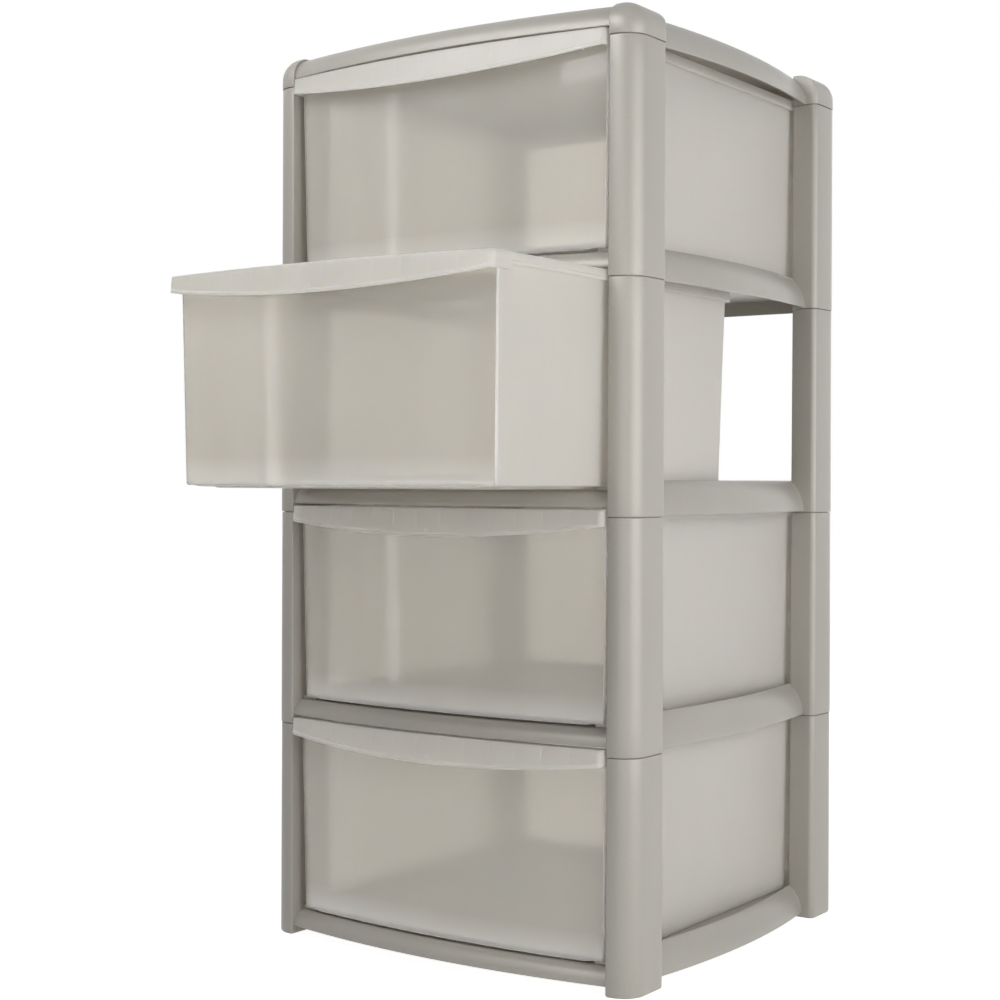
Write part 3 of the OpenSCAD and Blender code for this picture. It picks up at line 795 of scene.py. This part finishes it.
def top_plate():
    """The plate with its tray, as rings seen from the tray's middle."""
    low_y, high_y = TRAY_BORDER, REAR_Y - TRAY_BORDER
    centre = (0, (low_y + high_y) / 2)
    x, low, high = HALF_OPEN - TRAY_BORDER - TRAY_R, low_y + TRAY_R, high_y - TRAY_R

    def tray(inset):
        return [point for start, cx, cy in ((180, -x, low), (270, x, low), (0, x, high),
                                            (90, -x, high))
                for point in arc(cx, cy, TRAY_R - inset, start, start + 90, TRAY_STEPS)]

    outer = inside_outline(UNDER_TOP_RAIL, -PLATE_OVERLAP)
    turns = sorted({round(math.degrees(math.atan2(y - centre[1], x - centre[0])) % 360, 3)
                    for x, y in outer + tray(0)})
    levels = [(outer, TOP_H - DECK_T), (outer, TOP_H)]
    levels += [(tray(inset), TOP_H - drop) for inset, drop in TRAY_EDGE]
    return loft([[(x, y, z) for x, y in seen_from_middle(outline, turns, centre)]
                 for outline, z in levels])


def cap(side, end):
    """Corner cap: the post's outline that rounds over on its two outer sides."""
    head = TOP_H + CAP_RISE
    spring = head - DOME
    stages = [(inset, SEAM_GAP + rise) for inset, rise in CAP_FOOT] + [(0, spring)]
    stages += [(DOME * (1 - math.cos(a)), spring + DOME * math.sin(a))
               for a in map(math.radians, DOME_ANGLES)] + [(CAP_END, head)]
    turn_x = HALF_W - POST_R
    rings = []
    for inset, z in stages:
        soft = CAP_SOFT * max(0, 1 - (head - z) / CAP_SOFT) ** 2
        share = (POST_R - inset) / POST_R
        ring = []
        for x, y in post_section(0, CAP_STEPS):
            if x > turn_x and y < POST_R:
                x, y = turn_x + (x - turn_x) * share, POST_R + (y - POST_R) * share
            ring.append((max(min(x, HALF_W - inset), HALF_OPEN + soft),
                         min(max(y, inset), POST_D - soft), z))
        rings.append(at_corner(ring, side, end))
    return loft(rings)


skins = [front_rail(FRONT_FOOT, TOP_H, TOP_H - DECK_T),
         *side_rails(TOP_SIDE_FOOT, TOP_H, TOP_H - DECK_T), top_plate(),
         rear_rail(HALF_OPEN, TOP_H)]
for side, end in CORNERS:
    skins += [cap(side, end), plug(side, end, -PLUG_DOWN, CAP_PLUG_HEAD)]
raised = [moved(skin, up=LEVELS * PITCH) for skin in skins]
made = soften(piece("top_panel_moulding", raised, "frame", silver, "frame_plastic", "top_panel",
                    smooth_angle=32), TOP_EDGE)
print("top panel:", len(made.data.polygons), "faces before its bevel")

# %% [markdown]
# ## The drawers
#
# A drawer is one moulding with a wall of about two millimetres: a tapered box with a bowed
# front, a flat rim that turns down into a skirt, and at the front a deep curved lip to pull it
# by. One skin can go all the way round it: from the middle of the underside, up the outside of
# the walls, out under the rim, down the inside of the skirt, round its lower edge, up its
# outside, in over the rim and down the inner walls to the floor. Each ring has the same points:
# front arc, corner, side, rear corner and rear.

# %% Sizes of a drawer
WALL, RIM_GAP, RIM_W, RIM_T, RIM_SKIRT, CLEARANCE, REAR_GAP = 2.0, 1.4, 3.0, 1.5, 9.5, 2.0, 3.0
RIM_X = HALF_OPEN - RIM_GAP
WALL_X = RIM_X - RIM_W
RIM_REAR = REAR_Y - REAR_GAP
WALL_REAR = RIM_REAR - RIM_W
INSET, BOW = 8.0, 13.0
WALL_R = (WALL_X ** 2 + BOW ** 2) / (2 * BOW)
ARC_Y = INSET - BOW + WALL_R
REACH, FLARE, LIP_T = 11.0, 3.5, 2.2
LIP_END, LIP_MID, CHEEK, CHEEK_FADE = 14.0, 25.0, 20.0, 2.0
SAG = LIP_MID - LIP_END
EDGE_R = (RIM_X ** 2 + SAG ** 2) / (2 * SAG)
BEAD_H, BEAD, BEAD_END, BEAD_FADE, BEAD_SOFT = 3.2, 1.0, 167.0, 1.5, 0.9
SIDE_DRAFT, FRONT_DRAFT, REAR_DRAFT = 3.2, 3.0, 6.0
FLOOR_Z, RIM_Z = 25.5, PITCH + FRONT_FOOT - CLEARANCE
BELLY, BELLY_STEP, BELLY_R = 2.4, 20.0, 8
TOE, TOE_END, TOE_FADE = 1.2, 154.0, 5.0
FRONT_CORNER, REAR_CORNER, RIM_CORNER, RIM_REAR_CORNER = 2.5, 8.0, 5.5, 7.0
WALL_TIGHTEST, REAR_TIGHTEST, RIM_TIGHTEST, CORNER_SHARE = 1.0, 3.0, 2.5, 0.5
print("drawer: rim", round(2 * RIM_X, 1), "wide, wall arc radius", round(WALL_R, 1))

# %% [markdown]
# The rings need points where something happens: three close together on each rib, so that the
# painted light line there is thin, many on the front corner and the cheek of the lip, few along
# the straight sides. The last value of a point is its kind: 1 on the front, 0 on the sides and
# the rear, and a share between them round the corner, so that the lip can fade out there.

# %% How many points a ring has, and where
RIBS = 12
RIB_STOPS = (0, 0.03, 0.09, 0.3, 0.5, 0.7, 0.91, 0.97)
SIDE_STOPS = (15, 17, 18.5, 19.5, 20.2, 20.9, 21.7, 24, 32, 60, 100, 150, 200, 250, 300, 340)
FRONT_STEPS, CORNER_STEPS, REAR_STEPS = (RIBS + 1) * len(RIB_STOPS), 6, 4
APART = 0.05


def limited(value, low, high):
    return min(max(value, low), high)


def drawer_plan(x, front_r, rear, corner=FRONT_CORNER, rear_corner=REAR_CORNER):
    """Outline of a drawer as (x, y, kind) points; kind is how much a point belongs to the lip."""
    corner_x = x - corner
    corner_y = ARC_Y - math.sqrt((front_r - corner) ** 2 - corner_x ** 2)
    turn = math.degrees(math.atan2(corner_y - ARC_Y, corner_x))
    half = math.radians(90 + turn)
    front = []
    for i in range(FRONT_STEPS + 1):
        field, stop = divmod(i, len(RIB_STOPS))
        a = half * (2 * (field + RIB_STOPS[stop]) / (RIBS + 1) - 1)
        front.append((front_r * math.sin(a), ARC_Y - front_r * math.cos(a), 1.0))
    turning = arc(corner_x, corner_y, corner, turn, 0, CORNER_STEPS)[1:]
    bend = [(px, py, 1 - i / CORNER_STEPS) for i, (px, py) in enumerate(turning, 1)]
    low, high = bend[-1][1], rear - rear_corner - APART * len(SIDE_STOPS)
    side = [(x, limited(stop, low, high) + APART * k, 0.0)
            for k, stop in enumerate(SIDE_STOPS, 1)]
    rear_bend = arc(x - rear_corner, rear - rear_corner, rear_corner, 0, 90, CORNER_STEPS)
    back = [(px, py, 0.0) for px, py in rear_bend]
    middle = [((x - rear_corner) * (1 - k / REAR_STEPS), rear, 0.0)
              for k in range(1, REAR_STEPS + 1)]
    right_half = bend + side + back + middle
    left_half = [(-px, py, kind) for px, py, kind in reversed(right_half[:-1])]
    return front + right_half + left_half


KINDS = [kind for _, _, kind in drawer_plan(RIM_X, WALL_R + REACH, RIM_REAR)]
print("one ring of a drawer:", len(KINDS), "points")

# %% [markdown]
# Two kinds of ring make the drawer. A wall ring follows the walls, which lean outwards so that
# the moulding leaves its mould. A skirt ring follows the rim, the skirt and the lip, whose lower
# edge hangs in an arc and ends in a bead.

# %% The rings of a drawer
def wall_ring(z, inset=0.0, corner=FRONT_CORNER):
    """Ring of a drawer's wall at a height above the seam, set in by inset."""
    share = (RIM_Z - z) / (RIM_Z - FLOOR_Z)
    return [(x, y, z) for x, y, _ in drawer_plan(
        WALL_X - SIDE_DRAFT * share - inset, WALL_R - FRONT_DRAFT * share - inset,
        WALL_REAR - REAR_DRAFT * share - inset,
        max(corner - inset * CORNER_SHARE, WALL_TIGHTEST),
        max(REAR_CORNER - inset, REAR_TIGHTEST))]


def foot_ring(inset, rise):
    """Ring of the rounded foot of the walls; between the ledges the front one reaches lower."""
    return [(x, y, z - TOE * (kind == 1) * limited((TOE_END - abs(x)) / TOE_FADE, 0, 1))
            for (x, y, z), kind in zip(wall_ring(FLOOR_Z + rise, inset), KINDS)]


def skirt_depth(x, y, kind):
    """How far the lip or skirt hangs below the rim at a point of its outline."""
    if kind > 0:
        at_x = min(abs(x), RIM_X)
        return LIP_MID - (EDGE_R - math.sqrt(EDGE_R ** 2 - at_x ** 2))
    step = limited((y - CHEEK) / CHEEK_FADE, 0, 1)
    return LIP_END + (RIM_SKIRT - LIP_END) * step * step * (3 - 2 * step)


def skirt_ring(inset, drop, outer, from_edge=None):
    """Ring of the lip and skirt, a share of their depth down or so far above their edge."""
    shrink, shrink_front = (inset, inset) if outer else (RIM_T + inset, LIP_T + inset)
    plan = drawer_plan(RIM_X - shrink, WALL_R + REACH - shrink_front, RIM_REAR - shrink,
                       max(RIM_CORNER - shrink, RIM_TIGHTEST),
                       max(RIM_REAR_CORNER - shrink, RIM_TIGHTEST))
    ring = []
    for x, y, kind in plan:
        depth = skirt_depth(x, y, kind)
        down = depth * drop if from_edge is None else depth - from_edge
        swell = FLARE * down / LIP_MID
        if outer and from_edge is not None and from_edge < BEAD_H:
            end = limited((BEAD_END - abs(x)) / BEAD_FADE, 0, 1)
            swell += BEAD * end * min(1, (BEAD_H - from_edge) / BEAD_SOFT)
        swell *= kind
        reach = math.hypot(x, y - ARC_Y)
        ring.append((x + swell * x / reach, y + swell * (y - ARC_Y) / reach, RIM_Z - down))
    return ring


def flat(ring, z):
    return [(x, y, z) for x, y, _ in ring]


# %% [markdown]
# Now the rings are stacked in their order, and each says how much painted highlight its edge
# gets. A low ring is left in the middle of the lip, where the plastic entered the mould.

# %% One drawer
FOOT_R, INNER_R, UNDER, WALL_HEIGHTS = 1.5, 3.5, RIM_Z - RIM_T, (50, 90, 130, 165, 190)
MIDDLE_INSET, MIDDLE_R, FOOT_ANGLES = 60, 20, range(0, 91, 18)
# Strengths of the painted highlights on ribs, lip, foot and the sides of the bead, and how wide
# the painted highlight up each front corner fades.
RIB_PAINTED_HIGHLIGHT, LIP_PAINTED_HIGHLIGHT, FOOT_PAINTED_HIGHLIGHT, SIDE_PAINTED_HIGHLIGHT, CORNER_HIGHLIGHT_FADE = 0.75, 0.16, 0.8, 0.4, 0.3
# The steps round each edge. Those of the belly and under the rim are (rise, inset), and the
# others say it in their names; a share is one of the depth of the skirt.
BELLY_STEPS = ((-BELLY, MIDDLE_INSET), (-BELLY, BELLY_STEP + 1), (0.3 - BELLY, BELLY_STEP),
               (-0.2, BELLY_STEP - 3), (0, BELLY_STEP - 4))
INNER_BELLY_STEPS = ((0, BELLY_STEP - 2), (-0.3, BELLY_STEP - 1), (0.2 - BELLY, BELLY_STEP + 2),
                     (-BELLY, BELLY_STEP + 3), (-BELLY, MIDDLE_INSET))
UNDER_RIM_STEPS = ((-0.8, 0), (-0.25, -0.2), (0, -0.7))
SKIRT_SHARES = (RIM_T / LIP_END + 0.03, 0.35, 0.6, 0.85)
SKIRT_EDGE_INSETS_HEIGHTS = ((0, 0.4), (-0.4, 0.0))
BEAD_INSETS_HEIGHTS_HIGHLIGHTS = ((0.5, 0.0, 0.6), (0.12, 0.2, 1.0), (0, 0.55, 0.4), (0, 1.4, 0.05),
                              (0, 2.3, 0.2), (0, 2.8, 1.0), (0, 3.2, 0.2))
LIP_SHARES, RIB_SHARE = (0.72, 0.55, 0.4, 0.25, 0.12), 0.6
RIM_INSETS_SHARES_DROPS_HIGHLIGHTS = ((0, 0.06, 0.8, 0.1), (0.22, 0, 0.22, 0.7), (0.8, 0, 0, 0.2))
MOUTH_DROPS_INSETS = ((0, WALL - 0.7), (0.2, WALL - 0.2), (0.7, WALL))


def drawer_skin():
    """One skin all the way round a drawer, and how much painted highlight each point gets."""
    rings, painted_highlights = [], []

    # Each ring comes with how much painted highlight its points get.
    def add(ring, lights=0.0):
        rings.append(ring)
        painted_highlights.extend(lights if isinstance(lights, list) else [lights] * len(ring))

    def floor_rings(level, steps):
        for rise, inset in steps:
            add(wall_ring(level + rise, inset, MIDDLE_R if inset == MIDDLE_INSET else BELLY_R))

    floor_rings(FLOOR_Z, BELLY_STEPS)
    # The round of the front foot gets a painted highlight line.
    for angle, stage in zip(FOOT_ANGLES, rounding(FOOT_R, FOOT_ANGLES)):
        add(foot_ring(*stage), [FOOT_PAINTED_HIGHLIGHT * (angle > 45) * (kind == 1) for kind in KINDS])
    # A painted highlight runs up each front corner of the walls.
    for z in WALL_HEIGHTS:
        add(wall_ring(z), [max(0, 1 - abs(kind - 0.5) / CORNER_HIGHLIGHT_FADE) for kind in KINDS])
    for rise, inset in UNDER_RIM_STEPS:
        add(wall_ring(UNDER + rise, inset))
    add(flat(skirt_ring(0.4, 0, False), UNDER))
    for share in SKIRT_SHARES:
        add(skirt_ring(0, share, False))
    for inset, height in SKIRT_EDGE_INSETS_HEIGHTS:
        add(skirt_ring(inset, 0, False, height))
    # The bead's lines and the skirt's lower edge get painted highlights, weaker along the sides.
    for inset, height, light in BEAD_INSETS_HEIGHTS_HIGHLIGHTS:
        add(skirt_ring(inset, 0, True, height),
            [light * max(kind, SIDE_PAINTED_HIGHLIGHT) for kind in KINDS])
    # The lip is painted a little paler, with painted light lines on its upper part where the ribs
    # stand behind it.
    on_rib = [kind == 1 and i % len(RIB_STOPS) == 0 and 0 < i < FRONT_STEPS
              for i, kind in enumerate(KINDS)]
    for share in LIP_SHARES:
        add(skirt_ring(0, share, True), [
            LIP_PAINTED_HIGHLIGHT * kind + RIB_PAINTED_HIGHLIGHT * (rib and share < RIB_SHARE)
            for kind, rib in zip(KINDS, on_rib)])
    # The edges of the rim get painted highlights.
    for inset, share, drop, light in RIM_INSETS_SHARES_DROPS_HIGHLIGHTS:
        add(flat(skirt_ring(inset, share, True), RIM_Z - drop), light)
    for drop, inset in MOUTH_DROPS_INSETS:
        add(wall_ring(RIM_Z - drop, inset))
    for z in reversed(WALL_HEIGHTS):
        add(wall_ring(z, WALL))
    for inset, rise in reversed(rounding(INNER_R, FOOT_ANGLES)):
        add(wall_ring(FLOOR_Z + WALL + rise, WALL + inset))
    floor_rings(FLOOR_Z + WALL, INNER_BELLY_STEPS)
    return *loft(rings), painted_highlights


GATE_R, GATE_W, GATE_UP, GATE_PAINTED_HIGHLIGHT, GATE_TURNS = 3.3, 1.0, 4.8, 0.5, 36
GATE_SECTION = ((0, -0.4), (0, 0.1), (GATE_W / 2, 0.35), (GATE_W, 0.1), (GATE_W, -0.4))


def gate_ring():
    """The low ring in the middle of the lip."""
    rings = []
    for across, up in arc(0, 0, 1, 0, 360, GATE_TURNS)[:-1]:
        section = []
        for inwards, raised in GATE_SECTION:
            r = GATE_R - inwards
            down = LIP_MID - GATE_UP - r * up
            lip_r = WALL_R + REACH + FLARE * down / LIP_MID + raised
            section.append((r * across, ARC_Y - math.sqrt(lip_r ** 2 - (r * across) ** 2),
                            RIM_Z - down))
        rings.append(section)
    points, faces = tube(rings)
    # The whole gate ring gets a painted highlight.
    return points, faces, [GATE_PAINTED_HIGHLIGHT] * len(points)


drawer, gate = drawer_skin(), gate_ring()
print("one drawer:", len(drawer[0]), "points,", len(drawer[1]), "faces")

# %% [markdown]
# ## The ribs behind a lip
#
# A lip this thin would bend under a pull, so twelve small ribs tie it to the front wall. They
# stand evenly along its bow, so Geometry Nodes can place them: a row of points, moved back
# onto the arc, with one rib on each.

# %% A Geometry Nodes tree that sets ribs along an arc
rib_tree, entry, leave = new_tree("ribs_along_arc", [
    ("Count", "Int"), ("First", "Float"), ("Spacing", "Float"), ("Arc radius", "Float"),
    ("Material", "Material")])
row = rib_tree.nodes.new("GeometryNodeMeshLine")
where, step, bow = (rib_tree.nodes.new("ShaderNodeCombineXYZ") for _ in range(3))
apart = rib_tree.nodes.new("ShaderNodeSeparateXYZ")
shift = rib_tree.nodes.new("GeometryNodeSetPosition")
put = rib_tree.nodes.new("GeometryNodeInstanceOnPoints")
wire(rib_tree, (entry["First"], where.inputs["X"]), (entry["Spacing"], step.inputs["X"]),
     (entry["Count"], row.inputs["Count"]), (where.outputs[0], row.inputs["Start Location"]),
     (step.outputs[0], row.inputs["Offset"]),
     (rib_tree.nodes.new("GeometryNodeInputPosition").outputs[0], apart.inputs[0]))
x, radius = apart.outputs["X"], entry["Arc radius"]
rise = maths(rib_tree, "SUBTRACT", maths(rib_tree, "MULTIPLY", radius, radius),
             maths(rib_tree, "MULTIPLY", x, x))
back = maths(rib_tree, "SUBTRACT", radius, maths(rib_tree, "SQRT", rise))
wire(rib_tree, (back, bow.inputs["Y"]), (row.outputs[0], shift.inputs["Geometry"]),
     (bow.outputs[0], shift.inputs["Offset"]), (shift.outputs[0], put.inputs["Points"]),
     (entry["Geometry"], put.inputs["Instance"]))
end_tree(rib_tree, put.outputs[0], entry, leave)
print("tree:", rib_tree.name, "inputs", list(socket_ids(rib_tree)))

# %% One rib, and a row of them
RIB_T, RIB_H, RIB_SINK, RIB_DOWN = 1.4, 14.0, 0.5, 1.0


def rib():
    """A thin wall from the front of the drawer to the inside of the lip."""
    out_top, out_low = (REACH - LIP_T + FLARE * down / LIP_MID + RIB_SINK
                        for down in (RIB_DOWN, RIB_H))
    side = [(RIB_SINK, RIM_Z - RIB_DOWN), (-out_top, RIM_Z - RIB_DOWN),
            (-out_low, RIM_Z - RIB_H), (RIB_SINK, RIM_Z - RIB_H)]
    return loft([[(x, y, z) for y, z in side] for x in (-RIB_T / 2, RIB_T / 2)])


def rib_row():
    """The ribs of one drawer as a mesh, in metres, with the arc's front at y = 0."""
    mesh = bpy.data.meshes.new("rib")
    corners, sides = rib()
    mesh.from_pydata([Vector(p) * MM for p in corners], [], sides)
    spacing = 2 * RIM_X / (RIBS + 1)
    grown = grow(mesh, rib_tree, {
        "Count": RIBS, "First": (spacing - RIM_X) * MM, "Spacing": spacing * MM,
        "Arc radius": WALL_R * MM, "Material": frost})
    bpy.data.meshes.remove(mesh)
    return grown


# %% [markdown]
# ## Four drawers
#
# All four are the same moulding. Each is moved to its storey and as far out as its measured node
# stands, and rides on its own body, so it slides. The faces of its front wall get the polished
# plastic.

# %% The four drawers in their places
DRAWERS = {"drawer_1": "top_drawer", "drawer_2": "second_drawer", "drawer_3": "third_drawer",
           "drawer_4": "bottom_drawer"}
CLOSED_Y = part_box("drawer_1")[0].y
OUTSIDE, INSIDE, FACING, BELOW_RIM, FROM_SIDE = 2, -9, 0.9, 1, 2


def on_front_wall(face, out, seam):
    """Whether a face belongs to the polished front wall of a drawer that stands so far out."""
    middle = face.center / MM
    past_wall = math.hypot(middle.x, middle.y - FRONT_Y + out - ARC_Y) - WALL_R
    return (abs(face.normal.y) > FACING and middle.z - seam < RIM_Z - BELOW_RIM
            and abs(middle.x) < WALL_X - FROM_SIDE and INSIDE < past_wall < OUTSIDE)


for number, (node, body) in enumerate(DRAWERS.items(), 1):
    out = (CLOSED_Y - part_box(node)[0].y) / MM
    seam = (LEVELS - number) * PITCH
    made = piece(f"{node}_shell", [moved(skin, -out, seam) for skin in (drawer, gate)], body,
                 frost, "drawer_plastic", node, smooth_angle=35)
    made.data.materials.append(polished)
    for face in made.data.polygons:
        if on_front_wall(face, out, seam):
            face.material_index = 1
    ribs = rib_row()
    ribs.transform(Matrix.Translation(place(0, ARC_Y - WALL_R - out, seam)))
    dress(f"{node}_ribs", ribs, body, frost, "drawer_plastic", node)
    print(node, "stands", round(out, 1), "mm out,", len(made.data.polygons), "faces and",
          len(ribs.polygons), "on its ribs")
